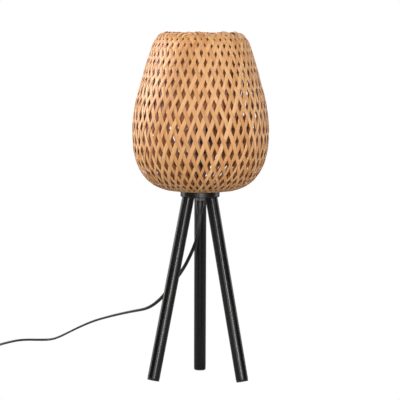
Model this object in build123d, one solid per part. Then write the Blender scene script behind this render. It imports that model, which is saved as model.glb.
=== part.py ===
from build123d import *

import math
import os

# Tripod table lamp with a double-walled woven bamboo shade, in millimetres, +Z up.
# The origin is on the floor, on the upright centre line. The front is the -Y side.

# Tripod
HUB_RADIUS = 34.3
HUB_BOTTOM = 320.4
HUB_TOP = 330.4
HUB_ROUNDING = 1.4
LEG_RADIUS = 10.7
LEG_TOP_OFFSET = 23.3  # from the centre line to a leg's axis at the hub's underside
LEG_SLOPE = 0.2085  # outward travel for each millimetre down
LEG_ANGLES = {"left": 208.5, "right": 328.5, "rear": 88.5}
PAD_RADIUS = 10.4
PAD_THICKNESS = 3.0
PAD_TRIM = 0.5  # how far the pad's low edge is flattened by the floor
BOLT_RADIUS = 4.0
BOLT_IN_LEG = 32.0

# Stem through the hub, and what is stacked on it
STEM_RADIUS = 5.0
STEM_BORE = 4.0
STEM_BOTTOM = 303.6
SLEEVE_RADIUS = 7.0
NUT_RADIUS = 8.1
NUT_HEIGHT = 5.0
WASHER_RADIUS = 9.5
WASHER_THICKNESS = 1.2
CLAMP_RADIUS = 30.0
CLAMP_THICKNESS = 2.0

# Shade: outer line of the wall as (radius, height), from the flat base up to the rim
SHADE_BASE_RADIUS = 46.0
SHADE_LINE = [
    (SHADE_BASE_RADIUS, HUB_TOP),
    (65.0, 333.2),
    (89.2, 345.6),
    (108.8, 371.4),
    (118.0, 403.2),
    (120.0, 438.9),
    (114.7, 485.5),
    (103.5, 527.2),
    (91.2, 568.9),
    (81.1, 594.7),
    (71.5, 604.7),
    (63.0, 607.5),
]
WEAVE_THICKNESS = 2.0
INNER_WEAVE_DEPTH = 6.0  # from the outer weave's face to the inner weave's face
WEAVE_HOLE_RADIUS = 5.6
BASE_WEAVE_RADIUS = 60.0
BASE_WEAVE_HEIGHT = 20.0
WIDEST_Z = 439.0
HOOP_WIRE_RADIUS = 1.5

# Lampholder
HOLDER_BOTTOM = 396.0
HOLDER_SPLIT = 412.0
HOLDER_TOP = 448.0
HOLDER_RADIUS = 20.0
HOLDER_RIM_RADIUS = 22.0
INSULATOR_RADIUS = 17.8
INSULATOR_TOP = 420.0
SCREW_SHELL_BORE = 13.25
SCREW_SHELL_WALL = 1.1
CORE_RADIUS = 1.1

# Bulb
THREAD_RADIUS = 13.2
CAP_RADIUS = 12.6
CAP_WALL = 0.6
CAP_BOTTOM = 425.0
CAP_TOP = 447.5
THREAD_PITCH = 3.6
THREAD_COUNT = 5
GLASS_RADIUS = 30.0
GLASS_TOP = 526.0
GLASS_WALL = 0.8
GLASS_NECK_BOTTOM = 442.0
GLASS_STEM_TOP = 470.0
FILAMENT_COUNT = 4
FILAMENT_RADIUS = 0.9
FILAMENT_LENGTH = 32.0
FILAMENT_LEAN = 8.0

# Cord: 4.4 mm round tube of the same bulk as the flat 6.2 by 3.8 mm twin cord
CORD_RADIUS = 2.2
FLOOR_Z = CORD_RADIUS
GRIP_BOTTOM = 288.6
GRIP_TOP = 313.6
GRIP_RADIUS = 7.4
GRIP_SCREW_RADIUS = 1.2
GRIP_SCREW_LENGTH = 4.4

# Switch on the cord
SWITCH_CENTRE = (-416.5, 233.0)
SWITCH_HEADING = 245.0
SWITCH_HALF_LENGTH = 32.0
SWITCH_HALF_WIDTH = 13.5
SWITCH_HEIGHT = 16.0
SWITCH_WALL = 2.0
ROCKER_PIVOT_Z = 12.5
ROCKER_RADIUS = 9.6
ROCKER_WIDTH = 10.4
ROCKER_TILT = 10.0
ROCKER_PIN_RADIUS = 1.5
RUNNING_CLEARANCE = 0.05

# Coil of spare cord and the plug
COIL_CENTRE = (-422.5, 127.9)
COIL_MID_RADIUS = 35.6
COIL_HALF_WIDTH = 9.7
COIL_HEIGHT = 8.2
TIE_WIDTH = 8.0
TIE_THICKNESS = 0.8
TIE_ANGLE = 300.0
PLUG_ENTRY = (-461.4, 78.0)
PLUG_HEADING = 270.0
PLUG_HALF_WIDTH = 17.6
PLUG_THICKNESS = 13.6
PLUG_RELIEF = 14.0
PLUG_LENGTH = 38.0
PIN_RADIUS = 2.0
PIN_SLEEVE_RADIUS = 1.8
PIN_SLEEVE_LENGTH = 10.0
PIN_LENGTH = 19.0
PIN_SPACING = 19.0

UPWARD = (Align.CENTER, Align.CENTER, Align.MIN)
DOWNWARD = (Align.CENTER, Align.CENTER, Align.MAX)

# Heights that follow from the ones above
CLAMP_BOTTOM = HUB_TOP + INNER_WEAVE_DEPTH + WEAVE_THICKNESS
UPPER_NUT_BOTTOM = CLAMP_BOTTOM + CLAMP_THICKNESS
SLEEVE_BOTTOM = UPPER_NUT_BOTTOM + NUT_HEIGHT
STEM_TOP = HOLDER_BOTTOM + 8.0
CABLE_SPLIT = STEM_TOP + 2.0
SWITCH_END_Z = SWITCH_HEIGHT / 2
PLUG_MID_Z = PLUG_THICKNESS / 2

# Route of the cord's centre line from the grip to the switch
CORD_ROUTE = [
    (0.0, 0.0, GRIP_BOTTOM),
    (0.0, 0.0, 270.0),
    (-5.4, 7.8, 243.0),
    (-14.7, 21.4, 218.0),
    (-28.3, 41.2, 188.0),
    (-52.0, 75.9, 152.0),
    (-68.4, 99.8, 127.0),
    (-92.1, 134.5, 104.5),
    (-121.5, 177.4, 93.5),
    (-148.1, 216.1, 82.8),
    (-173.0, 252.4, 71.8),
    (-196.7, 287.1, 60.6),
    (-221.0, 322.5, 46.4),
    (-246.5, 359.7, 29.6),
    (-273.0, 398.4, 11.6),
    (-291.0, 421.0, 3.0),
    (-316.0, 424.5, FLOOR_Z),
    (-340.0, 425.5, FLOOR_Z),
    (-357.0, 414.0, FLOOR_Z),
    (-371.5, 387.0, FLOOR_Z),
    (-387.5, 353.0, FLOOR_Z),
    (-390.5, 318.0, FLOOR_Z),
    (-394.5, 280.1, SWITCH_END_Z),
    (-403.0, 262.0, SWITCH_END_Z),
]
# From the switch to the coil, and from the coil to the plug
FEED_ROUTE = [
    (-430.0, 204.0, SWITCH_END_Z),
    (-438.5, 185.9, SWITCH_END_Z),
    (-449.5, 165.5, 2.8),
    (-459.0, 149.0, FLOOR_Z),
]
TAIL_ROUTE = [
    (-461.4, 127.9, 6.0),
    (-461.9, 110.0, 6.1),
    (-461.4, 94.0, PLUG_MID_Z),
    (-461.4, 78.0, PLUG_MID_Z),
]


def save(name, shape):
    """Write one sub-part as parts/NAME.step."""
    shape.label = name
    export_step(shape, os.path.join("parts", name + ".step"))


def ring(outer, inner, height, bottom):
    """An upright tube on the centre line, from its bottom up."""
    return Pos(0, 0, bottom) * (
        Cylinder(outer, height, align=UPWARD) - Cylinder(inner, height, align=UPWARD)
    )


def turned(points):
    """A solid of revolution about Z from a closed outline of (radius, height) points."""
    outline = Polyline(*[(r, 0, z) for r, z in points], close=True)
    return revolve(make_face(outline), Axis.Z)


def heading_frame(point, heading, z=0.0):
    """The place of something on the floor whose own +X points along the heading."""
    return Pos(point[0], point[1], z) * Rot(0, 0, heading)


# ---------------------------------------------------------------- tripod


def leg_frame(name):
    """The frame at a pad's underside, with Z up along the leg's axis."""
    tilt = math.atan(LEG_SLOPE)
    low = PAD_RADIUS * math.sin(tilt) - PAD_TRIM
    out = LEG_TOP_OFFSET + (HUB_BOTTOM - low) * LEG_SLOPE
    return Rot(0, 0, LEG_ANGLES[name]) * Pos(out, 0, low) * Rot(0, -math.degrees(tilt), 0)


def leg_bolt(name):
    """The hanger bolt, from inside the leg to the hub's top face."""
    above_hub = Pos(0, 0, HUB_TOP) * Box(200, 200, 60, align=UPWARD)
    axis_length = HUB_BOTTOM * math.hypot(1, LEG_SLOPE)
    start = Pos(0, 0, axis_length - BOLT_IN_LEG)
    bolt = Cylinder(BOLT_RADIUS, BOLT_IN_LEG + 20, align=UPWARD)
    return leg_frame(name) * start * bolt - above_hub


def leg(name):
    above = Pos(0, 0, HUB_BOTTOM) * Box(200, 200, 60, align=UPWARD)
    dowel = Cylinder(LEG_RADIUS, HUB_BOTTOM + 20, align=UPWARD)
    dowel = fillet(dowel.edges().sort_by(Axis.Z)[0], 1.0)
    return leg_frame(name) * Pos(0, 0, PAD_THICKNESS) * dowel - above - leg_bolt(name)


def foot_pad(name):
    floor = Box(400, 400, 20, align=DOWNWARD)
    return leg_frame(name) * Cylinder(PAD_RADIUS, PAD_THICKNESS, align=UPWARD) - floor


def hub_disc():
    disc = Cylinder(HUB_RADIUS, HUB_TOP - HUB_BOTTOM, align=UPWARD)
    disc = fillet(disc.edges().filter_by(GeomType.CIRCLE), HUB_ROUNDING)
    disc = Pos(0, 0, HUB_BOTTOM) * disc
    disc -= Pos(0, 0, HUB_BOTTOM) * Cylinder(STEM_RADIUS, 20, align=UPWARD)
    for name in LEG_ANGLES:
        disc -= leg_bolt(name)
    return disc


# ---------------------------------------------------------------- stem


def hex_nut(bottom):
    blank = extrude(RegularPolygon(NUT_RADIUS, 6), NUT_HEIGHT)
    return Pos(0, 0, bottom) * (blank - Cylinder(STEM_RADIUS, NUT_HEIGHT, align=UPWARD))


def clamp_plate():
    plate = Cylinder(CLAMP_RADIUS, CLAMP_THICKNESS, align=UPWARD)
    plate = fillet(plate.edges().sort_by(Axis.Z)[-1], 0.8)
    return Pos(0, 0, CLAMP_BOTTOM) * (plate - Cylinder(STEM_RADIUS, CLAMP_THICKNESS, align=UPWARD))


def cord_grip():
    """The tapered strain relief that screws onto the stem's lower end."""
    nose = GRIP_TOP - 11
    outline = [
        (CORD_RADIUS, GRIP_BOTTOM),
        (4.2, GRIP_BOTTOM),
        (GRIP_RADIUS - 1.2, nose - 1),
        (GRIP_RADIUS, nose),
        (GRIP_RADIUS, GRIP_TOP),
        (STEM_RADIUS, GRIP_TOP),
        (STEM_RADIUS, STEM_BOTTOM),
        (CORD_RADIUS, STEM_BOTTOM),
    ]
    return turned(outline) - grip_screw()


def grip_screw():
    """The small screw in the grip's side that presses on the cord."""
    screw = Cylinder(GRIP_SCREW_RADIUS, GRIP_SCREW_LENGTH, align=UPWARD)
    return Pos(0, 0, STEM_BOTTOM - 2.5) * Rot(90, 0, 0) * Pos(0, 0, CORD_RADIUS) * screw


def stem_cable():
    return Pos(0, 0, GRIP_BOTTOM) * Cylinder(CORD_RADIUS, CABLE_SPLIT - GRIP_BOTTOM, align=UPWARD)


# ---------------------------------------------------------------- shade


def wall_line(depth):
    """Points along the shade's wall, set in from its outer line by depth, from the base to the rim."""
    ends = [(1, 0, 0), (-1, 0, 0.2)]
    line = Spline(*[(r, 0, z) for r, z in SHADE_LINE], tangents=ends, tangent_scalars=[1, 0.3])
    places = []
    for step in range(25):
        place = line.position_at(step / 24)
        along = line.tangent_at(step / 24)
        places.append(Vector(place.X - depth * along.Z, 0, place.Z + depth * along.X))
    return places


def wall_spline(depth):
    return Spline(*wall_line(depth))


def weave_solid(edges):
    return revolve(make_face(edges), Axis.Z)


def base_edges(outside, inside):
    """The flat base of a weave, from its outer face round the stem hole to its inner face."""
    low = Vector(WEAVE_HOLE_RADIUS, 0, outside.Z)
    high = Vector(WEAVE_HOLE_RADIUS, 0, inside.Z)
    return [Line(outside, low), Line(low, high), Line(high, inside)]


def outer_weave():
    """The outer skin: base, wall, and the fold at the rim that turns it down into the inner wall."""
    outer = wall_line(0)
    inner = wall_line(WEAVE_THICKNESS)
    below = wall_line(INNER_WEAVE_DEPTH)[-1]
    deepest = wall_line(INNER_WEAVE_DEPTH + WEAVE_THICKNESS)[-1]
    fold_centre = (outer[-1] + deepest) * 0.5
    inward = Vector(-1, 0, 0.2).normalized()
    fold_radius = (outer[-1] - deepest).length / 2
    edges = [wall_spline(0)]
    edges.append(ThreePointArc(outer[-1], fold_centre + inward * fold_radius, deepest))
    edges.append(Line(deepest, below))
    edges.append(ThreePointArc(below, fold_centre + inward * (fold_radius - WEAVE_THICKNESS), inner[-1]))
    edges.append(wall_spline(WEAVE_THICKNESS))
    edges += base_edges(outer[0], inner[0])
    return weave_solid(edges)


def shade_base_weave(weave):
    """The flat middle of the base, up to where the wall starts to rise."""
    return weave & Pos(0, 0, HUB_TOP) * Cylinder(BASE_WEAVE_RADIUS, BASE_WEAVE_HEIGHT, align=UPWARD)


def shade_lower_weave(weave):
    """The wall from the base to its widest place."""
    middle = Pos(0, 0, HUB_TOP) * Cylinder(BASE_WEAVE_RADIUS, BASE_WEAVE_HEIGHT, align=UPWARD)
    return weave - middle - above_widest()


def shade_upper_weave(weave):
    """The wall from its widest place up to the rim, with the fold."""
    return weave & above_widest()


def above_widest():
    return Pos(0, 0, WIDEST_Z) * Box(400, 400, 400, align=UPWARD)


def shade_inner_weave():
    outside = wall_line(INNER_WEAVE_DEPTH)
    inside = wall_line(INNER_WEAVE_DEPTH + WEAVE_THICKNESS)
    edges = [wall_spline(INNER_WEAVE_DEPTH), wall_spline(INNER_WEAVE_DEPTH + WEAVE_THICKNESS)]
    edges.append(Line(outside[-1], inside[-1]))
    edges += base_edges(outside[0], inside[0])
    return weave_solid(edges)


def shade_hoop():
    """The wire hoop inside the fold that keeps the mouth round."""
    middle = (wall_line(0)[-1] + wall_line(INNER_WEAVE_DEPTH + WEAVE_THICKNESS)[-1]) * 0.5
    return Pos(0, 0, middle.Z) * Torus(middle.X, HOOP_WIRE_RADIUS)


def shade_base_disc():
    """The board between the two weaves, under the clamp plate."""
    bottom = HUB_TOP + WEAVE_THICKNESS
    return ring(SHADE_BASE_RADIUS - 4, WEAVE_HOLE_RADIUS, INNER_WEAVE_DEPTH - WEAVE_THICKNESS, bottom)


# ---------------------------------------------------------------- lampholder


def holder_cap():
    outline = [
        (STEM_RADIUS, HOLDER_BOTTOM),
        (9.0, HOLDER_BOTTOM),
        (10.0, HOLDER_BOTTOM + 6),
        (HOLDER_RADIUS - 2, HOLDER_BOTTOM + 11),
        (HOLDER_RADIUS, HOLDER_BOTTOM + 14),
        (HOLDER_RADIUS, HOLDER_SPLIT),
        (HOLDER_RADIUS - 2, HOLDER_SPLIT),
        (HOLDER_RADIUS - 4, HOLDER_BOTTOM + 13),
        (8.0, HOLDER_BOTTOM + 8),
        (STEM_RADIUS, HOLDER_BOTTOM + 8),
    ]
    return turned(outline)


def holder_shell():
    bore = SCREW_SHELL_BORE + SCREW_SHELL_WALL
    outline = [
        (INSULATOR_RADIUS, HOLDER_SPLIT),
        (HOLDER_RADIUS, HOLDER_SPLIT),
        (HOLDER_RADIUS, HOLDER_TOP - 9),
        (HOLDER_RIM_RADIUS, HOLDER_TOP - 6),
        (HOLDER_RIM_RADIUS, HOLDER_TOP - 1),
        (HOLDER_RIM_RADIUS - 1, HOLDER_TOP),
        (bore, HOLDER_TOP),
        (bore, INSULATOR_TOP),
        (INSULATOR_RADIUS, INSULATOR_TOP),
    ]
    return turned(outline)


def terminal_screws():
    """The two screws that hold the cores, in the insulator's underside."""
    screw = Cylinder(2.4, 1.6, align=DOWNWARD) + Cylinder(1.4, 5, align=UPWARD)
    group = Pos(-11, 0, HOLDER_SPLIT) * screw + Pos(11, 0, HOLDER_SPLIT) * screw
    return Compound(children=group.solids())


def holder_insulator():
    block = Cylinder(INSULATOR_RADIUS, INSULATOR_TOP - HOLDER_SPLIT, align=UPWARD)
    return Pos(0, 0, HOLDER_SPLIT) * block - terminal_screws()


def holder_contacts():
    """The middle tongue under the bulb's tip, and the side tongue under the screw shell."""
    middle = Pos(0, 0, INSULATOR_TOP) * Box(9, 4, 0.5, align=UPWARD)
    side = Pos(SCREW_SHELL_BORE + SCREW_SHELL_WALL / 2, 0, INSULATOR_TOP)
    side = side * Box(SCREW_SHELL_WALL / 2, 4, 1.0, align=UPWARD)
    return Compound(children=[middle, side])


def holder_screw_shell():
    bottom = INSULATOR_TOP + 1.0
    outer = SCREW_SHELL_BORE + SCREW_SHELL_WALL
    return ring(outer, SCREW_SHELL_BORE, HOLDER_TOP - 3 - bottom, bottom)


def core(side):
    """One of the cable's two cores, from the split end of the cable to its terminal screw."""
    points = [
        Vector(side * CORE_RADIUS, 0, CABLE_SPLIT),
        Vector(side * CORE_RADIUS, 0, CABLE_SPLIT + 1.6),
        Vector(side * 8.6, 0, CABLE_SPLIT + 3.0),
    ]
    return tube(points, CORE_RADIUS - 0.1, [1.2])


# ---------------------------------------------------------------- bulb


def bulb_cap():
    """The screw cap: thread rings on a thin shell."""
    outline = [(CAP_RADIUS - CAP_WALL, CAP_BOTTOM), (CAP_RADIUS, CAP_BOTTOM)]
    for turn in range(THREAD_COUNT):
        base = CAP_BOTTOM + 0.8 + turn * THREAD_PITCH
        outline.append((CAP_RADIUS, base))
        outline.append((THREAD_RADIUS, base + 1.0))
        outline.append((THREAD_RADIUS, base + 1.8))
        outline.append((CAP_RADIUS, base + 2.8))
    outline.append((CAP_RADIUS, CAP_TOP))
    outline.append((CAP_RADIUS - CAP_WALL, CAP_TOP))
    return turned(outline)


def bulb_insulator():
    return turned([(0, CAP_BOTTOM - 3), (5, CAP_BOTTOM - 3), (CAP_RADIUS, CAP_BOTTOM), (0, CAP_BOTTOM)])


def bulb_contact():
    top = CAP_BOTTOM - 3
    return turned([(0, top - 1.2), (2.5, top - 1), (4.6, top), (0, top)])


def bulb_glass():
    """The clear envelope, open at the neck inside the cap."""
    neck = CAP_RADIUS - CAP_WALL
    outer_points = [
        (neck, 0, GLASS_NECK_BOTTOM),
        (neck, 0, CAP_TOP),
        (19, 0, 467),
        (GLASS_RADIUS, 0, GLASS_TOP - GLASS_RADIUS),
        (0, 0, GLASS_TOP),
    ]
    inner_points = [(r - GLASS_WALL, 0, z) for r, _, z in outer_points[:-1]]
    inner_points.append((0, 0, GLASS_TOP - GLASS_WALL))
    edges = []
    for points in (outer_points, inner_points):
        edges.append(Line(points[0], points[1]))
        edges.append(Spline(*points[1:4], tangents=[(0.25, 0, 1), (0, 0, 1)]))
        edges.append(ThreePointArc(points[3], crown_point(points), points[4]))
    edges.append(Line(outer_points[0], inner_points[0]))
    edges.append(Line(outer_points[-1], inner_points[-1]))
    return revolve(make_face(edges), Axis.Z)


def crown_point(points):
    """The middle of the round top of the glass."""
    radius = points[4][2] - points[3][2]
    half = math.sqrt(0.5)
    return (points[3][0] * half, 0, points[3][2] + radius * half)


def bulb_stem():
    low, top = GLASS_NECK_BOTTOM, GLASS_STEM_TOP
    return turned([(0, low), (10, low), (8, low + 6), (3, top - 10), (3, top), (0, top)])


def bulb_filaments():
    """Upright filaments standing round the glass stem."""
    sticks = []
    for turn in range(FILAMENT_COUNT):
        place = Rot(0, 0, 45 + turn * 360 / FILAMENT_COUNT) * Pos(6, 0, GLASS_STEM_TOP + 1)
        stick = Cylinder(FILAMENT_RADIUS, FILAMENT_LENGTH, align=UPWARD)
        sticks.append(place * Rot(0, FILAMENT_LEAN, 0) * stick)
    return Compound(children=sticks)


# ---------------------------------------------------------------- cord


def tube(points, radius, bends):
    """A round tube along straight runs joined by tangent arcs."""
    path = FilletPolyline(*points, radius=bends)
    section = Plane(origin=points[0], z_dir=points[1] - points[0]) * Circle(radius)
    return sweep(section, path=path)


def bend_radii(points):
    radii = []
    for before, corner, after in zip(points, points[1:], points[2:]):
        run_in = corner - before
        run_out = after - corner
        half_turn = math.radians(run_in.get_angle(run_out)) / 2
        radii.append(0.45 * min(run_in.length, run_out.length) / math.tan(half_turn))
    return radii


def cord_tube(name, route):
    points = [Vector(*point) for point in route]
    bends = bend_radii(points)
    solid = tube(points, CORD_RADIUS, bends)
    length = FilletPolyline(*points, radius=bends).length
    share = solid.volume / (math.pi * CORD_RADIUS**2 * length)
    tightest = round(min(bends))
    print(name, "length", round(length), "volume share", round(share, 4), "least radius", tightest)
    return solid


def cord_coil():
    """The outer shape of the spare turns, with a waist where the tie holds them."""
    section = Pos(COIL_MID_RADIUS, 0, COIL_HEIGHT / 2) * Rot(90, 0, 0)
    section = section * RectangleRounded(2 * COIL_HALF_WIDTH, COIL_HEIGHT, 2.4)
    return Pos(*COIL_CENTRE, 0) * revolve(section, Axis.Z) - cord_tie()


def cord_tie():
    """A strap round the turns at one place."""
    width = 2 * COIL_HALF_WIDTH
    outside = Box(width + 2 * TIE_THICKNESS, TIE_WIDTH, COIL_HEIGHT + TIE_THICKNESS, align=UPWARD)
    hollow = Box(width, TIE_WIDTH, COIL_HEIGHT - TIE_THICKNESS, align=UPWARD)
    hollow = Pos(0, 0, TIE_THICKNESS) * hollow
    place = Pos(*COIL_CENTRE, 0) * Rot(0, 0, TIE_ANGLE) * Pos(COIL_MID_RADIUS, 0, 0)
    return place * (outside - hollow)


# ---------------------------------------------------------------- switch


def switch_frame():
    return heading_frame(SWITCH_CENTRE, SWITCH_HEADING)


def switch_outline(inset):
    """The switch's plan, tapering to the cord at both ends."""
    end = SWITCH_HALF_LENGTH - inset
    half = SWITCH_HALF_WIDTH - inset
    plan = [(end, 6 - inset), (20, half), (-20, half), (-end, 6 - inset)]
    plan += [(x, -y) for x, y in reversed(plan)]
    return make_face(Polyline(*plan, close=True))


def switch_shell():
    body = extrude(switch_outline(0), SWITCH_HEIGHT)
    sides = body.edges().filter_by(Axis.Z)
    body = fillet(sides, 4.0)
    rims = body.faces().sort_by(Axis.Z)[0].edges() + body.faces().sort_by(Axis.Z)[-1].edges()
    body = fillet(rims, 2.0)
    cavity = extrude(switch_outline(SWITCH_WALL), SWITCH_HEIGHT - 2 * SWITCH_WALL)
    return body - Pos(0, 0, SWITCH_WALL) * cavity - cord_bore()


def cord_bore():
    return Pos(0, 0, SWITCH_END_Z) * Rot(0, 90, 0) * Cylinder(CORD_RADIUS, 2 * SWITCH_HALF_LENGTH + 2)


def screw_places():
    return [Pos(19, 7.8, 0), Pos(-19, -7.8, 0)]


def switch_base():
    half = switch_shell() & Box(100, 60, SWITCH_HEIGHT / 2, align=UPWARD)
    depth = SWITCH_HEIGHT / 2 - SWITCH_WALL
    for place in screw_places():
        half += place * Pos(0, 0, SWITCH_WALL) * Cylinder(2.8, depth, align=UPWARD)
    return switch_frame() * (half - switch_screw_set())


def switch_cover():
    half = switch_shell() & Pos(0, 0, SWITCH_HEIGHT / 2) * Box(100, 60, SWITCH_HEIGHT, align=UPWARD)
    depth = SWITCH_HEIGHT / 2 - SWITCH_WALL
    for place in screw_places():
        half += place * Pos(0, 0, SWITCH_HEIGHT / 2) * Cylinder(2.8, depth, align=UPWARD)
    for side in (-1, 1):
        ear = Pos(0, side * (ROCKER_WIDTH / 2 + 1.4), SWITCH_HEIGHT - SWITCH_WALL)
        half += ear * Box(7, 2.2, 4.5, align=DOWNWARD)
    slot = Box(2 * (ROCKER_RADIUS + 0.4), ROCKER_WIDTH + 0.6, 20)
    pin_bore = Rot(90, 0, 0) * Cylinder(ROCKER_PIN_RADIUS + RUNNING_CLEARANCE, ROCKER_WIDTH + 3.6)
    half -= Pos(0, 0, SWITCH_HEIGHT) * slot & Pos(0, 0, SWITCH_HEIGHT / 2) * Box(60, 60, 20, align=UPWARD)
    half -= Pos(0, 0, ROCKER_PIVOT_Z) * pin_bore
    return switch_frame() * (half - switch_screw_set())


def switch_rocker():
    """The rocker with its two pivot pins, tilted to the position it rests in."""
    rim = ROCKER_RADIUS
    high = rim * math.tan(math.radians(ROCKER_TILT))
    valley = 3.2
    outline = [(-rim, -5), (rim, -5), (rim, valley + high), (0, valley), (-rim, valley + high)]
    face = make_face(Polyline(*[(x, 0, z) for x, z in outline], close=True))
    round_ends = Rot(90, 0, 0) * Cylinder(rim, ROCKER_WIDTH)
    body = extrude(face, ROCKER_WIDTH / 2, both=True) & round_ends
    body += Rot(90, 0, 0) * Cylinder(ROCKER_PIN_RADIUS, ROCKER_WIDTH + 3.0)
    return switch_frame() * Pos(0, 0, ROCKER_PIVOT_Z) * Rot(0, -ROCKER_TILT, 0) * body


def switch_screw_set():
    screws = []
    for place in screw_places():
        head = Pos(0, 0, 0.4) * Cylinder(2.1, 1.6, align=UPWARD)
        shank = Pos(0, 0, SWITCH_WALL) * Cylinder(1.2, 9, align=UPWARD)
        screws.append(place * (head + shank))
    return Compound(children=screws)


def switch_screws():
    return switch_frame() * switch_screw_set()


def switch_contacts():
    """A fixed contact and a spring contact with their terminals, on the base's floor."""
    pieces = []
    for side in (-1, 1):
        plate = Pos(side * 8, 0, SWITCH_WALL) * Box(10, 4, 0.8, align=UPWARD)
        post = Pos(side * 12, 0, SWITCH_WALL + 0.8) * Box(3, 4, 2.0, align=UPWARD)
        pieces.append(plate + post)
    return switch_frame() * Compound(children=pieces)


def switch_cable_ends():
    """The two sheathed ends of the cord where the shells grip it."""
    length = SWITCH_HALF_LENGTH - 20
    ends = []
    for side in (-1, 1):
        end = Rot(0, 90, 0) * Cylinder(CORD_RADIUS, length)
        ends.append(Pos(side * (SWITCH_HALF_LENGTH - length / 2), 0, SWITCH_END_Z) * end)
    return switch_frame() * Compound(children=ends)


# ---------------------------------------------------------------- plug


def plug_frame():
    return heading_frame(PLUG_ENTRY, PLUG_HEADING, PLUG_MID_Z)


def plug_body():
    """A flat two-pin plug with a tapered strain relief."""
    plan = [(PLUG_RELIEF - 2, 7), (PLUG_RELIEF + 10, PLUG_HALF_WIDTH), (PLUG_LENGTH, PLUG_HALF_WIDTH)]
    plan += [(x, -y) for x, y in reversed(plan)]
    grip = extrude(make_face(Polyline(*plan, close=True)), PLUG_THICKNESS / 2, both=True)
    grip = fillet(grip.edges().filter_by(Axis.Z), 2.5)
    flat = grip.faces().sort_by(Axis.Z)
    grip = fillet(flat[0].edges() + flat[-1].edges(), 2.0)
    relief = Rot(0, 90, 0) * Cone(CORD_RADIUS + 1.4, 5.4, PLUG_RELIEF, align=UPWARD)
    return plug_frame() * (grip + relief) - plug_pins() - plug_pin_sleeves()


def pin_places():
    return [Pos(0, side * PIN_SPACING / 2, 0) * Rot(0, 90, 0) for side in (-1, 1)]


def plug_pins():
    """The bare metal ends of the two pins."""
    start = PLUG_LENGTH + PIN_SLEEVE_LENGTH
    pins = []
    for place in pin_places():
        pin = Cylinder(PIN_RADIUS, PIN_LENGTH - PIN_SLEEVE_LENGTH, align=UPWARD)
        pin = fillet(pin.edges().sort_by(Axis.Z)[-1], 1.0)
        pins.append(place * Pos(0, 0, start) * pin)
    return plug_frame() * Compound(children=pins)


def plug_pin_sleeves():
    """The insulated stretch of the two pins, rooted in the body."""
    rooted = 6.0
    sleeve = Cylinder(PIN_SLEEVE_RADIUS, PIN_SLEEVE_LENGTH + rooted, align=UPWARD)
    sleeves = [place * Pos(0, 0, PLUG_LENGTH - rooted) * sleeve for place in pin_places()]
    return plug_frame() * Compound(children=sleeves)


# ---------------------------------------------------------------- all the parts

os.makedirs("parts", exist_ok=True)

for side in LEG_ANGLES:
    save("leg_" + side, leg(side))
    save("foot_pad_" + side, foot_pad(side))
save("hub_disc", hub_disc())
save("leg_hanger_bolts", Compound(children=[leg_bolt(side) for side in LEG_ANGLES]))

save("stem_tube", ring(STEM_RADIUS, STEM_BORE, STEM_TOP - STEM_BOTTOM, STEM_BOTTOM))
save("stem_sleeve", ring(SLEEVE_RADIUS, STEM_RADIUS, HOLDER_BOTTOM - SLEEVE_BOTTOM, SLEEVE_BOTTOM))
save("stem_washer", ring(WASHER_RADIUS, STEM_RADIUS, WASHER_THICKNESS, HUB_BOTTOM - WASHER_THICKNESS))
save("stem_nut_lower", hex_nut(HUB_BOTTOM - WASHER_THICKNESS - NUT_HEIGHT))
save("stem_nut_upper", hex_nut(UPPER_NUT_BOTTOM))
save("stem_cable", stem_cable())
save("cord_grip", cord_grip())
save("cord_grip_screw", grip_screw())

outer = outer_weave()
save("shade_base_weave", shade_base_weave(outer))
save("shade_lower_weave", shade_lower_weave(outer))
save("shade_upper_weave", shade_upper_weave(outer))
save("shade_inner_weave", shade_inner_weave())
save("shade_rim_hoop", shade_hoop())
save("shade_base_disc", shade_base_disc())
save("shade_clamp_plate", clamp_plate())

save("holder_cap", holder_cap())
save("holder_shell", holder_shell())
save("holder_insulator", holder_insulator())
save("holder_contacts", holder_contacts())
save("holder_screw_shell", holder_screw_shell())
save("holder_terminal_screws", terminal_screws())
save("core_live", core(1))
save("core_neutral", core(-1))

save("bulb_glass", bulb_glass())
save("bulb_cap", bulb_cap())
save("bulb_insulator", bulb_insulator())
save("bulb_contact", bulb_contact())
save("bulb_stem", bulb_stem())
save("bulb_filaments", bulb_filaments())

save("cord_to_switch", cord_tube("cord_to_switch", CORD_ROUTE))
save("cord_to_coil", cord_tube("cord_to_coil", FEED_ROUTE))
save("cord_to_plug", cord_tube("cord_to_plug", TAIL_ROUTE))
save("cord_coil", cord_coil())
save("cord_tie", cord_tie())

save("switch_base", switch_base())
save("switch_cover", switch_cover())
save("switch_rocker", switch_rocker())
save("switch_screws", switch_screws())
save("switch_contacts", switch_contacts())
save("switch_cable_ends", switch_cable_ends())

save("plug_body", plug_body())
save("plug_pins", plug_pins())
save("plug_pin_sleeves", plug_pin_sleeves())
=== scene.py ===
import math
import random

import bpy
import numpy as np
from mathutils import Matrix, Vector


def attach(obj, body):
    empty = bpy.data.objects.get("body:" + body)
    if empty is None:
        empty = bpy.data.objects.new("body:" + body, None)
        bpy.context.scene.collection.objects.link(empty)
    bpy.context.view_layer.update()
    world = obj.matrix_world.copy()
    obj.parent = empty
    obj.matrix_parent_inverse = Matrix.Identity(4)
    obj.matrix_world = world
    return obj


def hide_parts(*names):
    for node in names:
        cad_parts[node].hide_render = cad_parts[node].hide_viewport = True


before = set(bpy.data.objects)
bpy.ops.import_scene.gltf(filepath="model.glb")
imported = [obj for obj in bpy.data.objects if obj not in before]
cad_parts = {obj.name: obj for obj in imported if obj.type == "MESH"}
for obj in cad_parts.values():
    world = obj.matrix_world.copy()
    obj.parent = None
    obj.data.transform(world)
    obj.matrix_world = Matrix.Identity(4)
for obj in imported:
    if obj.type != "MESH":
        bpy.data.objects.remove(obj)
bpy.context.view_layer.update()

# Metres, in the frame's own axes: +Z up, the front towards -Y.
SEED = 11

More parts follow.
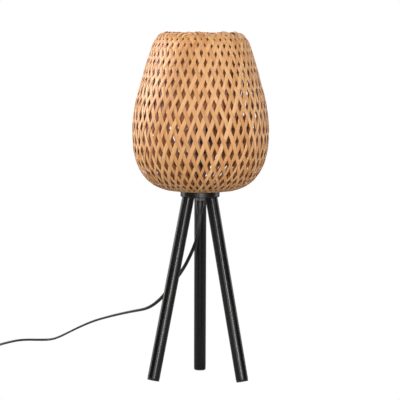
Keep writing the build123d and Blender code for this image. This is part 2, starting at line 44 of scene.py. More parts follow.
# ------------------------------------------------------------ camera

CAMERA_DISTANCE = 3.654
CAMERA_HEIGHT = 0.6065
CAMERA_PITCH = math.radians(4.57)
CAMERA_ROLL = math.radians(0.5)
FRAME_PIXELS = 400
FOCAL_PIXELS = 2092
SENSOR_WIDTH = 36.0


def add_camera():
    data = bpy.data.cameras.new("camera")
    data.sensor_width = SENSOR_WIDTH
    data.lens = FOCAL_PIXELS / FRAME_PIXELS * SENSOR_WIDTH
    camera = bpy.data.objects.new("camera", data)
    camera.location = (0, -CAMERA_DISTANCE, CAMERA_HEIGHT)
    pitch = Matrix.Rotation(math.pi / 2 - CAMERA_PITCH, 3, "X")
    roll = Matrix.Rotation(CAMERA_ROLL, 3, "Z")
    camera.rotation_euler = (pitch @ roll).to_euler()
    bpy.context.collection.objects.link(camera)
    bpy.context.scene.camera = camera


add_camera()

# ------------------------------------------------------------ node helpers


class Shader:
    """A material under construction, with short calls for the nodes used here."""

    def __init__(self, name):
        self.material = bpy.data.materials.new(name)
        self.material.use_nodes = True
        self.tree = self.material.node_tree
        self.bsdf = self.tree.nodes["Principled BSDF"]

    def node(self, kind, **values):
        node = self.tree.nodes.new(kind)
        for key, value in values.items():
            setattr(node, key, value)
        return node

    def link(self, source, target):
        self.tree.links.new(source, target)

    def put(self, socket, value):
        """Give a socket a number, a colour or a link."""
        if isinstance(value, bpy.types.NodeSocket):
            self.link(value, socket)
        else:
            socket.default_value = value

    def set(self, **values):
        for key, value in values.items():
            self.put(self.bsdf.inputs[key.replace("_", " ")], value)

    def coordinates(self, scale=(1, 1, 1), uv=False):
        source = self.node("ShaderNodeTexCoord").outputs["UV" if uv else "Object"]
        mapping = self.node("ShaderNodeMapping")
        mapping.inputs["Scale"].default_value = scale
        self.link(source, mapping.inputs["Vector"])
        return mapping.outputs["Vector"]

    def noise(self, vector, scale, detail=3.0, roughness=0.55):
        node = self.node("ShaderNodeTexNoise")
        self.link(vector, node.inputs["Vector"])
        node.inputs["Scale"].default_value = scale
        node.inputs["Detail"].default_value = detail
        node.inputs["Roughness"].default_value = roughness
        return node.outputs["Fac"]

    def math(self, operation, a, b=0.0, c=0.0):
        node = self.node("ShaderNodeMath", operation=operation)
        for socket, value in zip(node.inputs, (a, b, c)):
            self.put(socket, value)
        return node.outputs["Value"]

    def remap(self, value, low, high, to_low, to_high):
        node = self.node("ShaderNodeMapRange")
        for socket, number in zip(node.inputs, (value, low, high, to_low, to_high)):
            self.put(socket, number)
        return node.outputs["Result"]

    def ramp(self, value, stops):
        node = self.node("ShaderNodeValToRGB")
        ramp = node.color_ramp
        while len(ramp.elements) < len(stops):
            ramp.elements.new(0.5)
        for element, (place, colour) in zip(ramp.elements, stops):
            element.position = place
            element.color = (*colour, 1)
        self.put(node.inputs["Fac"], value)
        return node.outputs["Color"]

    def mix(self, factor, a, b, blend="MIX"):
        node = self.node("ShaderNodeMix", data_type="RGBA", blend_type=blend)
        self.put(node.inputs[0], factor)
        self.put(node.inputs[6], a if isinstance(a, bpy.types.NodeSocket) else (*a, 1))
        self.put(node.inputs[7], b if isinstance(b, bpy.types.NodeSocket) else (*b, 1))
        return node.outputs[2]

    def bump(self, height, strength, distance):
        node = self.node("ShaderNodeBump")
        node.inputs["Strength"].default_value = strength
        node.inputs["Distance"].default_value = distance
        self.link(height, node.inputs["Height"])
        self.link(node.outputs["Normal"], self.bsdf.inputs["Normal"])


def dress(name, material):
    """Give a CAD node its finish."""
    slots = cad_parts[name].material_slots
    for slot in slots:
        slot.material = material


def new_piece(name, mesh, material, body="lamp"):
    piece = bpy.data.objects.new(name, mesh)
    bpy.context.collection.objects.link(piece)
    mesh.materials.append(material)
    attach(piece, body)
    return piece


# ------------------------------------------------------------ materials


FIBRES_ACROSS = 16
FIBRES_ALONG = 45
STRIP_GRAIN_APART = 170  # keeps the grain of strips with different tones apart
CUT_EDGE_BROWN = (0.36, 0.14, 0.045)
# Painted shade: a dark red-brown for the inner wall's strips, in place of the shadow in the gap between the
# two walls.
PAINTED_SHADE_BROWN = (0.28, 0.072, 0.012)
PAINTED_SHADE_SHARE = 0.80  # how far the inner wall's colour goes towards that painted shade


def bamboo():
    """Split bamboo: fibres along it, a tone for each strip, darker cut edges, and painted shade on the inner
    wall, whose strips turn dark brown in place of the shadow between the walls.
    """
    m = Shader("bamboo")
    tone = m.node("ShaderNodeAttribute", attribute_name="tone").outputs["Fac"]
    uv = m.node("ShaderNodeTexCoord").outputs["UV"]
    split = m.node("ShaderNodeSeparateXYZ")
    m.link(uv, split.inputs[0])
    across, along = split.outputs[0], split.outputs[1]
    fibres = m.node("ShaderNodeCombineXYZ")
    m.put(fibres.inputs[0], m.math("MULTIPLY", across, FIBRES_ACROSS))
    m.put(fibres.inputs[1], m.math("MULTIPLY", along, FIBRES_ALONG))
    m.put(fibres.inputs[2], m.math("MULTIPLY", tone, STRIP_GRAIN_APART))
    grain = m.noise(fibres.outputs[0], 1.0, 4, 0.65)
    blotch = m.noise(fibres.outputs[0], 0.22, 2, 0.5)
    value = m.math("MULTIPLY", tone, 0.55)
    value = m.math("MULTIPLY_ADD", grain, 0.42, value)
    value = m.math("MULTIPLY_ADD", blotch, 0.30, value)
    colour = m.ramp(
        m.remap(value, 0.28, 0.98, 0, 1),
        [
            (0.0, (0.40, 0.155, 0.048)),
            (0.35, (0.58, 0.275, 0.100)),
            (0.65, (0.68, 0.355, 0.145)),
            (1.0, (0.78, 0.50, 0.26)),
        ],
    )
    edge = m.math("ABSOLUTE", m.math("SUBTRACT", across, 0.5))
    edge = m.remap(edge, 0.40, 0.5, 0, 0.30)
    # Painted shade: the inner wall's strips turn towards the dark brown, in place of the shadow between the
    # walls.
    inner = m.node("ShaderNodeAttribute", attribute_name="inner").outputs["Fac"]
    colour = m.mix(m.math("MULTIPLY", inner, PAINTED_SHADE_SHARE), colour, PAINTED_SHADE_BROWN)
    m.set(Base_Color=m.mix(edge, colour, CUT_EDGE_BROWN))
    m.set(Roughness=m.remap(grain, 0.3, 0.7, 0.50, 0.38))
    m.bump(grain, 0.35, 0.00025)
    return m.material


def lacquered_wood():
    """Black satin lacquer over a turned leg, with the grain just showing along it."""
    m = Shader("lacquered_wood")
    grain = m.noise(m.coordinates((420, 420, 9)), 1.0, 4, 0.6)
    pores = m.noise(m.coordinates((1400, 1400, 40)), 1.0, 2, 0.5)
    wear = m.noise(m.coordinates((30, 30, 12)), 1.0, 3, 0.6)
    m.set(Base_Color=m.ramp(grain, [(0.3, (0.0018, 0.0018, 0.0020)), (0.75, (0.0042, 0.0040, 0.0042))]))
    m.set(Roughness=m.remap(wear, 0.3, 0.7, 0.17, 0.25))
    m.bump(m.math("MULTIPLY_ADD", pores, 0.5, grain), 0.10, 0.00006)
    return m.material


def powder_coat():
    m = Shader("powder_coat")
    peel = m.noise(m.coordinates(), 900, 2, 0.5)
    m.set(Base_Color=m.ramp(peel, [(0.3, (0.0020, 0.0020, 0.0022)), (0.7, (0.0042, 0.0042, 0.0045))]))
    m.set(Roughness=m.remap(peel, 0.3, 0.7, 0.28, 0.38))
    m.bump(peel, 0.25, 0.0001)
    return m.material


def speckled(name, dark, light, rough, grain_scale, depth, metal=0.0, strength=0.2):
    """A finish with a fine grain in its colour, gloss and surface."""
    m = Shader(name)
    grain = m.noise(m.coordinates(), grain_scale, 3, 0.6)
    patch = m.noise(m.coordinates(), grain_scale / 18, 2, 0.5)
    m.set(Base_Color=m.mix(m.remap(grain, 0.3, 0.7, 0, 1), dark, light))
    m.set(Roughness=m.remap(patch, 0.3, 0.7, rough * 0.8, rough * 1.2), Metallic=metal)
    m.bump(grain, strength, depth)
    return m.material


def clear_glass():
    m = Shader("clear_glass")
    film = m.noise(m.coordinates(), 35, 2, 0.5)
    m.set(Base_Color=(0.96, 0.98, 0.98, 1), Transmission_Weight=1.0, IOR=1.47)
    m.set(Roughness=m.remap(film, 0.3, 0.7, 0.0, 0.03))
    return m.material


BAMBOO = bamboo()
WOOD_BLACK = lacquered_wood()
METAL_BLACK = powder_coat()
PLASTIC = speckled("black_plastic", (0.010, 0.010, 0.011), (0.020, 0.020, 0.021), 0.42, 1500, 0.00006)
RUBBER = speckled("foot_rubber", (0.010, 0.010, 0.010), (0.022, 0.021, 0.020), 0.75, 1200, 0.0001)
SHEATH = speckled("cord_sheath", (0.004, 0.004, 0.0045), (0.008, 0.008, 0.009), 0.36, 1100, 0.00004)
ZINC = speckled("zinc_plate", (0.42, 0.43, 0.43), (0.62, 0.62, 0.60), 0.34, 700, 0.00005, 1.0)
BRASS = speckled("brass", (0.62, 0.42, 0.16), (0.80, 0.58, 0.27), 0.30, 700, 0.00004, 1.0)
NICKEL = speckled("nickel_plate", (0.58, 0.56, 0.52), (0.74, 0.72, 0.68), 0.22, 800, 0.00003, 1.0)
STEATITE = speckled("steatite", (0.74, 0.72, 0.66), (0.84, 0.82, 0.77), 0.45, 900, 0.00004)
VITRITE = speckled("vitrite", (0.010, 0.009, 0.012), (0.022, 0.020, 0.026), 0.15, 500, 0.00002)
PHOSPHOR = speckled("phosphor", (0.78, 0.50, 0.08), (0.90, 0.64, 0.16), 0.55, 1800, 0.00005)
PLYWOOD = speckled("plywood", (0.42, 0.28, 0.15), (0.60, 0.43, 0.26), 0.62, 260, 0.0001)
CORE_BROWN = speckled("core_brown", (0.10, 0.035, 0.012), (0.16, 0.06, 0.022), 0.35, 900, 0.00003)
CORE_BLUE = speckled("core_blue", (0.015, 0.06, 0.24), (0.03, 0.09, 0.34), 0.35, 900, 0.00003)
GLASS = clear_glass()

FINISHES = {
    "leg_left leg_right leg_rear": WOOD_BLACK,
    "foot_pad_left foot_pad_right foot_pad_rear": RUBBER,
    "hub_disc stem_washer stem_nut_lower stem_sleeve shade_clamp_plate": METAL_BLACK,
    "leg_hanger_bolts stem_tube stem_nut_upper": ZINC,
    "shade_rim_hoop switch_screws": ZINC,
    "stem_cable switch_cable_ends": SHEATH,
    "cord_grip cord_grip_screw holder_cap holder_shell": PLASTIC,
    "switch_base switch_cover switch_rocker plug_body plug_pin_sleeves": PLASTIC,
    "holder_insulator": STEATITE,
    "holder_contacts holder_screw_shell holder_terminal_screws switch_contacts bulb_contact": BRASS,
    "bulb_cap plug_pins": NICKEL,
    "bulb_insulator": VITRITE,
    "bulb_glass bulb_stem": GLASS,
    "bulb_filaments": PHOSPHOR,
    "shade_base_disc": PLYWOOD,
    "core_live": CORE_BROWN,
    "core_neutral": CORE_BLUE,
}
for names, finish in FINISHES.items():
    for node_name in names.split():
        dress(node_name, finish)

# ------------------------------------------------------------ woven shade

# The shade's outer line as (radius, height), from its flat base up to the rim.
SHADE_LINE = [
    (0.046, 0.3304),
    (0.065, 0.3332),
    (0.0892, 0.3456),
    (0.1088, 0.3714),
    (0.118, 0.4032),
    (0.120, 0.4389),
    (0.1147, 0.4855),
    (0.1035, 0.5272),
    (0.0912, 0.5689),
    (0.0811, 0.5947),
    (0.0715, 0.6047),
    (0.063, 0.6075),
]
OUTER_DEPTH = 0.0011  # the middle of the outer wall, in from the outer line
INNER_DEPTH = 0.0068
BASE_END = 0.031  # how far in the strips run under the shade
STRIPS = 46  # strips that lean each way
STRIP_WIDTH = 0.0067
STRIP_THICKNESS = 0.00055
WAVE = 0.00042  # how far a strip steps out over, and in under, the ones it crosses
LEAN = math.radians(21)  # the strips' lean from the upright on the belly
RIM_LEAN = math.radians(34)
BASE_TAPER = 0.72  # a strip's width at the base, as a share of its width on the belly
TAPER_LEVELS = (0.345, 0.415)  # it narrows between these heights
# How far round the inner wall sits from the outer, as (height, strip pitches). They are nearly level with
# each other around the lampholder.
INNER_DRIFT = ((0.43, 0.1), (0.475, 0.45))
SHIFT_SPAN = (0.02, 0.04)  # the stretch before and after the rim over which they drift apart
PAINTED_SHADE_FADE = 0.02  # the stretch past the rim over which the strips take on the inner wall's painted shade
# How much of that painted shade the faces towards the bulb have. Those in the dim gap between the walls have
# all of it.
OPEN_SIDE_SHADE_SHARE = 0.5
RIM_UNEVEN = 0.0008  # how unevenly the strips fold at the rim
RIM_ZONE = 0.050  # the last stretch below the rim, where the lean grows
FRONT_CROSSING = 0.443  # height of a crossing on the front line
PITCH = 2 * math.pi / STRIPS
STEPS_IN_ROW = (0.0, 0.30, 0.43, 0.57, 0.70)
STEP_SHARPNESS = 0.45  # below 1, a strip lies flat and steps quickly
RIM_FOLD_SPREAD = 0.014  # how far either side of the rim the uneven fold reaches
SIDEWAYS_DRIFT = (0.07 * PITCH, 0.30)  # size, and longest wave along the strip
LIFT_DRIFT = (0.00012, 0.12)
WIDTH_DRIFT = (0.05, 0.2)
WIDTH_RANGE = (0.90, 1.10)  # from strip to strip, as shares of the width
WIDTH_ROOM = 0.93  # the most of its own lane that a strip fills
BEVEL = 0.86  # where the flat of a strip ends, as a share of its half width
TONE_MIDDLE = 0.5
TONE_SPREAD = 0.22


def smooth_line(points, spacing):
    """Evenly spaced points on a smooth line through the given ones."""
    p = np.array(points)
    gaps = np.linalg.norm(np.diff(p, axis=0), axis=1)
    slopes = np.diff(p, axis=0) / gaps[:, None]
    middle = (slopes[:-1] * gaps[1:, None] + slopes[1:] * gaps[:-1, None]) / (gaps[1:] + gaps[:-1])[:, None]
    ways = np.vstack([[1.0, 0.0], middle, slopes[-1]])
    fine = []
    for a, b, way_a, way_b, gap in zip(p, p[1:], ways, ways[1:], gaps):
        for t in np.linspace(0, 1, 40, endpoint=False):
            h = 2 * t**3 - 3 * t**2 + 1, t**3 - 2 * t**2 + t, 3 * t**2 - 2 * t**3, t**3 - t**2
            fine.append(h[0] * a + h[1] * gap * way_a + h[2] * b + h[3] * gap * way_b)
    return respaced(np.array(fine + [p[-1]]), spacing)


def respaced(line, spacing):
    far = np.concatenate([[0], np.cumsum(np.linalg.norm(np.diff(line, axis=0), axis=1))])
    places = np.linspace(0, far[-1], max(2, round(far[-1] / spacing)))
    return np.column_stack([np.interp(places, far, line[:, k]) for k in range(line.shape[1])])


def inset(line, depth):
    """The line moved in from the shade's outer face."""
    way = np.gradient(line, axis=0)
    way /= np.linalg.norm(way, axis=1)[:, None]
    return line + depth * np.column_stack([-way[:, 1], way[:, 0]])


def strip_run():
    """The line every strip follows in section: up the outer wall, over the fold, down the inner wall."""
    outline = smooth_line(SHADE_LINE, 0.001)
    outer, inner = inset(outline, OUTER_DEPTH), inset(outline, INNER_DEPTH)
    centre = (outer[-1] + inner[-1]) / 2
    radius = np.linalg.norm(outer[-1] - inner[-1]) / 2
    first = math.atan2(*(outer[-1] - centre)[::-1])
    turns = first + np.linspace(0, math.pi, 12)[1:-1]
    fold = centre + radius * np.column_stack([np.cos(turns), np.sin(turns)])
    start, end = [(BASE_END, outer[0][1])], [(BASE_END, inner[0][1])]
    return respaced(np.vstack([start, outer, fold, inner[::-1], end]), 0.0008)


RUN = strip_run()
RUN_FAR = np.concatenate([[0], np.cumsum(np.linalg.norm(np.diff(RUN, axis=0), axis=1))])
RIM_FAR = RUN_FAR[np.argmax(RUN[:, 1])]
RUN_WAY = np.gradient(RUN, axis=0)
RUN_WAY /= np.linalg.norm(RUN_WAY, axis=1)[:, None]


def turning():
    """How far round a strip has gone at each place along its run."""
    near_rim = np.clip(1 - np.abs(RUN_FAR - RIM_FAR) / RIM_ZONE, 0, 1)
    lean = LEAN + (RIM_LEAN - LEAN) * near_rim**1.5
    rate = np.tan(lean) / RUN[:, 0]
    turned = np.concatenate([[0], np.cumsum((rate[1:] + rate[:-1]) / 2 * np.diff(RUN_FAR))])
    on_outer = RUN_FAR < RIM_FAR
    at_crossing = np.interp(FRONT_CROSSING, RUN[on_outer, 1], turned[on_outer])
    return turned - at_crossing, lean


RUN_TURN, RUN_LEAN = turning()


def row_places():
    """Places along the run, bunched where a strip steps from over to under."""
    rows = 2 * RUN_TURN / PITCH
    whole = np.arange(math.ceil(rows[0]), math.floor(rows[-1]))
    wanted = (whole[:, None] + np.array(STEPS_IN_ROW)[None, :]).ravel()
    wanted = np.concatenate([[rows[0]], wanted[wanted > rows[0]], [rows[-1]]])
    return np.interp(wanted, rows, RUN_FAR), wanted


PLACES, ROWS = row_places()


def along_run(values):
    return np.interp(PLACES, RUN_FAR, values)


def smooth_step(share):
    share = np.clip(share, 0, 1)
    return share**2 * (3 - 2 * share)


def wobble(rng, size, longest):
    """A slow drift along a strip, as a hand-laid strip has."""
    drift = np.full(len(PLACES), rng.gauss(0, 0.5) * size)
    for part in range(3):
        length = longest / (1.6**part) * rng.uniform(0.8, 1.25)
        drift += size * 0.5 / (part + 1) * np.sin(2 * math.pi * (PLACES / length + rng.random()))
    return drift


def strip_points(lean_sign, start_angle, rng):
    """The corners of one strip: a row of six for each place along it."""
    r, z = along_run(RUN[:, 0]), along_run(RUN[:, 1])
    way = np.column_stack([along_run(RUN_WAY[:, 0]), along_run(RUN_WAY[:, 1])])
    way /= np.linalg.norm(way, axis=1)[:, None]
    angle = start_angle + lean_sign * along_run(RUN_TURN) + wobble(rng, *SIDEWAYS_DRIFT)
    past_rim = (PLACES - RIM_FAR + SHIFT_SPAN[0]) / sum(SHIFT_SPAN)
    heights, pitches = zip(*INNER_DRIFT)
    angle += np.interp(z, heights, pitches) * PITCH * smooth_step(past_rim)
    out = np.column_stack([way[:, 1] * np.cos(angle), way[:, 1] * np.sin(angle), -way[:, 0]])
    wave = np.cos(math.pi * ROWS)
    wave = np.sign(wave) * np.abs(wave) ** STEP_SHARPNESS
    lift = lean_sign * WAVE * wave + wobble(rng, *LIFT_DRIFT)
    z = z + rng.gauss(0, RIM_UNEVEN) * np.exp(-(((PLACES - RIM_FAR) / RIM_FOLD_SPREAD) ** 2))
    middle = np.column_stack([r * np.cos(angle), r * np.sin(angle), z]) + out * lift[:, None]
    run = np.gradient(middle, axis=0)
    side = np.cross(run, out)
    side /= np.linalg.norm(side, axis=1)[:, None]
    face = np.cross(side, run)
    face /= np.linalg.norm(face, axis=1)[:, None]
    room = WIDTH_ROOM * r * PITCH * np.cos(along_run(RUN_LEAN))
    width = STRIP_WIDTH * rng.uniform(*WIDTH_RANGE) * (1 + wobble(rng, *WIDTH_DRIFT))
    low, high = TAPER_LEVELS
    width = width * (BASE_TAPER + (1 - BASE_TAPER) * smooth_step((z - low) / (high - low)))
    half = np.minimum(width, room)[:, None] / 2
    thick = STRIP_THICKNESS / 2
    corners = [(-1.0, 0.0), (-BEVEL, 1.0), (BEVEL, 1.0), (1.0, 0.0), (BEVEL, -1.0), (-BEVEL, -1.0)]
    return np.stack([middle + side * half * u + face * thick * v for u, v in corners], axis=1), corners


def strip_mesh(name, lean_sign, rng):
    """All the strips that lean one way, as closed flat bars."""
    points, faces, uvs, tones, inner = [], [], [], [], []
    # How far each place has gone into the inner wall's painted shade.
    painted_shade_past_rim = smooth_step((PLACES - RIM_FAR) / PAINTED_SHADE_FADE)
    count = len(PLACES)
    for strip in range(STRIPS):
        start = -math.pi / 2 + strip * PITCH
        corners, section = strip_points(lean_sign, start, rng)
        sides = len(section)
        first = len(points) * count * sides
        points.append(corners.reshape(-1, 3))
        tone = min(1.0, max(0.0, rng.gauss(TONE_MIDDLE, TONE_SPREAD)))
        across = [(u + 1) / 2 for u, _ in section]
        for k in range(count - 1):
            for c in range(sides):
                d = (c + 1) % sides
                quad = [first + k * sides + c, first + k * sides + d]
                faces.append([*quad, quad[1] + sides, quad[0] + sides])
                near, far = PLACES[k], PLACES[k + 1]
                uvs += [(across[c], near), (across[d], near), (across[d], far), (across[c], far)]
                towards_bulb = c < sides // 2
                # Painted shade: faces in the gap between the walls get all of it, those towards the bulb a
                # share.
                inner.append(painted_shade_past_rim[k] * (OPEN_SIDE_SHADE_SHARE if towards_bulb else 1))
        for k in (0, count - 1):
            cap = [first + k * sides + c for c in range(sides)]
            faces.append(cap[::-1] if k == 0 else cap)
            uvs += [(0.5, PLACES[k])] * sides
            inner.append(painted_shade_past_rim[k])
        tones += [tone] * (len(faces) - len(tones))
    mesh = bpy.data.meshes.new(name)
    mesh.from_pydata(np.vstack(points).tolist(), [], faces)
    mesh.uv_layers.new(name="strip").data.foreach_set("uv", np.array(uvs).ravel())
    mesh.attributes.new("tone", "FLOAT", "FACE").data.foreach_set("value", tones)
    mesh.attributes.new("inner", "FLOAT", "FACE").data.foreach_set("value", inner)
    mesh.shade_smooth()
    mesh.set_sharp_from_angle(angle=math.radians(40))
    return mesh


WOVEN_NODES = ["shade_base_weave", "shade_lower_weave", "shade_upper_weave", "shade_inner_weave"]


def add_weave():
    rng = random.Random(SEED)
    for name, lean_sign in (("shade_strips_one_way", 1), ("shade_strips_other_way", -1)):
        piece = new_piece(name, strip_mesh(name, lean_sign, rng), BAMBOO)
        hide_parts(*WOVEN_NODES)


add_weave()

# ------------------------------------------------------------ cord

CORD_WIDTH = 0.0062
CORD_THICKNESS = 0.0038
FLOOR_Z = 0.0020
SWITCH_Z = 0.008
PLUG_Z = 0.0068
CORD_ROUTE = [
    (0.0, 0.0, 0.2926),
    (0.0000, 0.0000, 0.2700),
    (-0.0054, 0.0078, 0.2430),
    (-0.0147, 0.0214, 0.2180),
    (-0.0283, 0.0412, 0.1880),
    (-0.0520, 0.0759, 0.1520),
    (-0.0684, 0.0998, 0.1270),
    (-0.0921, 0.1345, 0.1045),
    (-0.1215, 0.1774, 0.0935),
    (-0.1481, 0.2161, 0.0828),
    (-0.1730, 0.2524, 0.0718),
    (-0.1967, 0.2871, 0.0606),
    (-0.2210, 0.3225, 0.0464),
    (-0.2465, 0.3597, 0.0296),
    (-0.2730, 0.3984, 0.0116),
    (-0.2910, 0.4210, 0.0030),
    (-0.3160, 0.4245, FLOOR_Z),
    (-0.3400, 0.4255, FLOOR_Z),
    (-0.3570, 0.4140, FLOOR_Z),
    (-0.3715, 0.3870, FLOOR_Z),
    (-0.3875, 0.3530, FLOOR_Z),
    (-0.3905, 0.3180, FLOOR_Z),
    (-0.3945, 0.2801, SWITCH_Z),
    (-0.4030, 0.2620, SWITCH_Z),
]
FEED_ROUTE = [
    (-0.4290, 0.2061, SWITCH_Z),
    (-0.4385, 0.1859, SWITCH_Z),
    (-0.4495, 0.1655, 0.0028),
]
TAIL_ROUTE = [
    (-0.4619, 0.1100, 0.0062),
    (-0.4614, 0.0940, PLUG_Z),
    (-0.4614, 0.0770, PLUG_Z),
]
COIL_CENTRE = (-0.4225, 0.1279)
COIL_ENTRY = math.radians(150)
COIL_POINTS = 16  # route points in a turn
# The turns as (degrees wound so far, radius, height): three side by side, then two lying on them.
COIL_STAGES = [
    (0, 0.0422, 0.0020),
    (300, 0.0422, 0.0020),
    (360, 0.0356, 0.0020),
    (600, 0.0356, 0.0020),
    (660, 0.0290, 0.0020),
    (900, 0.0290, 0.0020),
    (960, 0.0318, 0.0061),
    (1200, 0.0318, 0.0061),
    (1260, 0.0389, 0.0061),
    (1470, 0.0389, 0.0061),
]
COIL_END = 1460  # degrees wound when the tail leaves


def coil_route():
    """The coil's turns as points of the cord's own line."""
    wound = np.arange(0, COIL_END, 360 / COIL_POINTS)
    stages = np.array(COIL_STAGES)
    radii = np.interp(wound, stages[:, 0], stages[:, 1]) / math.cos(math.pi / COIL_POINTS)
    heights = np.interp(wound, stages[:, 0], stages[:, 2])
    angles = COIL_ENTRY + np.radians(wound)
    x = COIL_CENTRE[0] + radii * np.cos(angles)
    y = COIL_CENTRE[1] + radii * np.sin(angles)
    return list(zip(x, y, heights))


def nurbs_line(name, route):
    """The smooth line of a route, as points close together."""
    curve = bpy.data.curves.new(name, "CURVE")
    curve.dimensions = "3D"
    spline = curve.splines.new("NURBS")
    spline.points.add(len(route) - 1)
    for point, place in zip(spline.points, route):
        point.co = (*place, 1)
    spline.order_u = 3
    spline.use_endpoint_u = True
    spline.resolution_u = 10
    holder = bpy.data.objects.new(name, curve)
    bpy.context.collection.objects.link(holder)
    mesh = bpy.data.meshes.new_from_object(holder)
    line = np.array([v.co for v in mesh.vertices])
    bpy.data.objects.remove(holder)
    bpy.data.meshes.remove(mesh)
    return line


def cord_section():
    """The flat twin cord's section: two round cores side by side with a shallow groove between."""
    half, core = CORD_WIDTH / 2, CORD_THICKNESS / 2
    offset = half - core
    right = []
    for degrees in range(-100, 101, 20):
        a = math.radians(degrees)
        right.append((offset + core * math.cos(a), core * math.sin(a)))
    return right + [(-u, v) for u, v in reversed(right)]


def flat_cord(name, route, twists):
    """A mesh of the flat cord along its route. twists are (share of the length, degrees) of its wide side."""
    line = nurbs_line(name + "_route", route)
    way = np.gradient(line, axis=0)
    way /= np.linalg.norm(way, axis=1)[:, None]
    far = np.concatenate([[0], np.cumsum(np.linalg.norm(np.diff(line, axis=0), axis=1))])
    level = np.cross(way, (0, 0, 1.0))
    level[np.linalg.norm(level, axis=1) < 0.08] = np.nan
    for k in range(3):
        known = ~np.isnan(level[:, k])
        level[:, k] = np.interp(far, far[known], level[known, k])
    level -= way * np.sum(level * way, axis=1)[:, None]
    level /= np.linalg.norm(level, axis=1)[:, None]
    rise = np.cross(level, way)
    turn = np.radians(np.interp(far / far[-1], *np.array(twists).T))[:, None]
    wide = np.cos(turn) * level + np.sin(turn) * rise
    thin = np.cos(turn) * rise - np.sin(turn) * level
    section = cord_section()
    rings = np.stack([line + wide * u + thin * v for u, v in section], axis=1)
    sides = len(section)
    faces = []
    for k in range(len(line) - 1):
        for c in range(sides):
            d = (c + 1) % sides
            faces.append([k * sides + c, k * sides + d, (k + 1) * sides + d, (k + 1) * sides + c])
    faces.append(list(range(sides))[::-1])
    faces.append([(len(line) - 1) * sides + c for c in range(sides)])
    mesh = bpy.data.meshes.new(name)
    mesh.from_pydata(rings.reshape(-1, 3).tolist(), [], faces)
    mesh.shade_smooth()
    mesh.set_sharp_from_angle(angle=math.radians(60))
    piece = new_piece(name, mesh, SHEATH)
    return piece, line, far[-1]


CORD_TWISTS = [(0, -42), (0.25, -42), (0.45, -8), (0.68, 24), (0.78, 6), (0.9, 0), (1, 0)]
NO_TWIST = [(0, 0), (1, 0)]


def add_cords():
    first, line, length = flat_cord("cord_lamp_to_switch", CORD_ROUTE, CORD_TWISTS)
    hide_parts("cord_to_switch")
    second, line, length = flat_cord("cord_switch_to_plug", FEED_ROUTE + coil_route() + TAIL_ROUTE, NO_TWIST)
    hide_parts("cord_to_coil", "cord_coil", "cord_to_plug")
    print("cord lengths", length)


add_cords()
dress("cord_tie", PLASTIC)

# ------------------------------------------------------------ floor and light


FLOOR_HALF = 6.0
FLOOR_GREY = 0.30


def add_floor():
    """A white floor that stays plain white to look at, and throws back only a little light."""
    half = FLOOR_HALF
    mesh = bpy.data.meshes.new("floor")
    corners = [(-half, -half, 0), (half, -half, 0), (half, half, 0), (-half, half, 0)]
    mesh.from_pydata(corners, [], [[0, 1, 2, 3]])
    floor = bpy.data.objects.new("floor", mesh)
    bpy.context.collection.objects.link(floor)
    m = Shader("floor")
    m.set(Base_Color=(FLOOR_GREY, FLOOR_GREY, FLOOR_GREY, 1), Roughness=0.9)
    white = m.node("ShaderNodeEmission")
    seen = m.node("ShaderNodeMixShader")
    m.link(m.node("ShaderNodeLightPath").outputs["Is Camera Ray"], seen.inputs[0])
    m.link(m.bsdf.outputs[0], seen.inputs[1])
    m.link(white.outputs[0], seen.inputs[2])
    m.link(seen.outputs[0], m.tree.nodes["Material Output"].inputs["Surface"])
    mesh.materials.append(m.material)


def add_area(name, place, target, size, power, colour=(1, 1, 1)):
    data = bpy.data.lights.new(name, "AREA")
    data.shape = "RECTANGLE"
    data.size, data.size_y = size
    data.energy = power
    data.color = colour
    light = bpy.data.objects.new(name, data)
    light.location = place
    light.rotation_euler = (Vector(target) - Vector(place)).to_track_quat("-Z", "Y").to_euler()
    bpy.context.collection.objects.link(light)


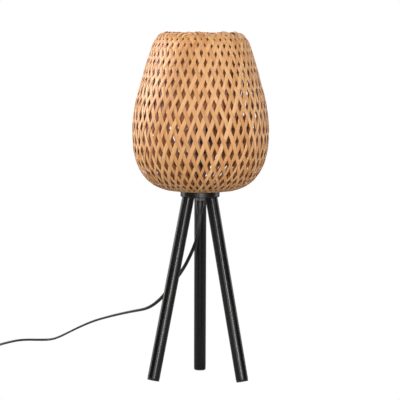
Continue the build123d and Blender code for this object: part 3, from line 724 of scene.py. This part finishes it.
def add_world():
    """White to look at. It lights the lamp from behind and from above, and leaves the front dim."""
    world = bpy.data.worlds.new("studio")
    bpy.context.scene.world = world
    world.use_nodes = True
    tree = world.node_tree
    tree.nodes.clear()

    def add(kind, **values):
        node = tree.nodes.new(kind)
        for key, value in values.items():
            setattr(node, key, value)
        return node

    shown, lit = add("ShaderNodeBackground"), add("ShaderNodeBackground")
    split = add("ShaderNodeSeparateXYZ")
    tree.links.new(add("ShaderNodeTexCoord").outputs["Generated"], split.inputs[0])
    total = add("ShaderNodeMath", operation="ADD")
    for slot, (axis, numbers) in enumerate(((1, WORLD_BACK), (2, WORLD_ABOVE))):
        rise = add("ShaderNodeMapRange", interpolation_type="SMOOTHSTEP")
        tree.links.new(split.outputs[axis], rise.inputs[0])
        for socket, value in zip(rise.inputs[1:5], numbers):
            socket.default_value = value
        tree.links.new(rise.outputs[0], total.inputs[slot])
    tree.links.new(total.outputs[0], lit.inputs["Strength"])
    mix = add("ShaderNodeMixShader")
    tree.links.new(add("ShaderNodeLightPath").outputs["Is Camera Ray"], mix.inputs[0])
    tree.links.new(lit.outputs[0], mix.inputs[1])
    tree.links.new(shown.outputs[0], mix.inputs[2])
    tree.links.new(mix.outputs[0], add("ShaderNodeOutputWorld").inputs[0])
    for background in (shown, lit):
        background.inputs["Color"].default_value = (1, 1, 1, 1)


# The world's strength along an axis: between the first two direction cosines it goes from the third number
# to the fourth.
WORLD_BACK = (0.15, 0.65, 0.06, 1.0)
WORLD_ABOVE = (0.30, 0.85, 0.0, 0.2)
SHADE_MIDDLE = (0, 0, 0.46)
SHADE_LOWER = (0, 0, 0.42)
SHADE_BELLY = (0, 0, 0.40)
LEG_MIDDLE = (0, 0, 0.30)
WARM_WHITE = (1.0, 0.975, 0.93)

add_floor()
add_world()
add_area("key", (-1.5, -2.1, 1.65), SHADE_LOWER, (1.2, 0.9), 23, WARM_WHITE)
add_area("side_left", (-2.0, 0.35, 1.35), SHADE_MIDDLE, (1.0, 0.9), 44)
add_area("edge_left", (-2.1, 0.9, 0.5), LEG_MIDDLE, (0.5, 1.2), 8)
add_area("edge_right", (2.1, 0.9, 0.5), LEG_MIDDLE, (0.5, 1.2), 6)
add_area("front", (0.42, -3.1, 0.45), LEG_MIDDLE, (0.28, 1.4), 24)
add_area("right", (1.6, -1.9, 1.6), SHADE_LOWER, (1.2, 0.9), 34, WARM_WHITE)
add_area("underside", (0.1, -1.2, 0.06), SHADE_BELLY, (1.4, 0.5), 5.5, WARM_WHITE)
bpy.context.scene.view_settings.view_transform = "Standard"
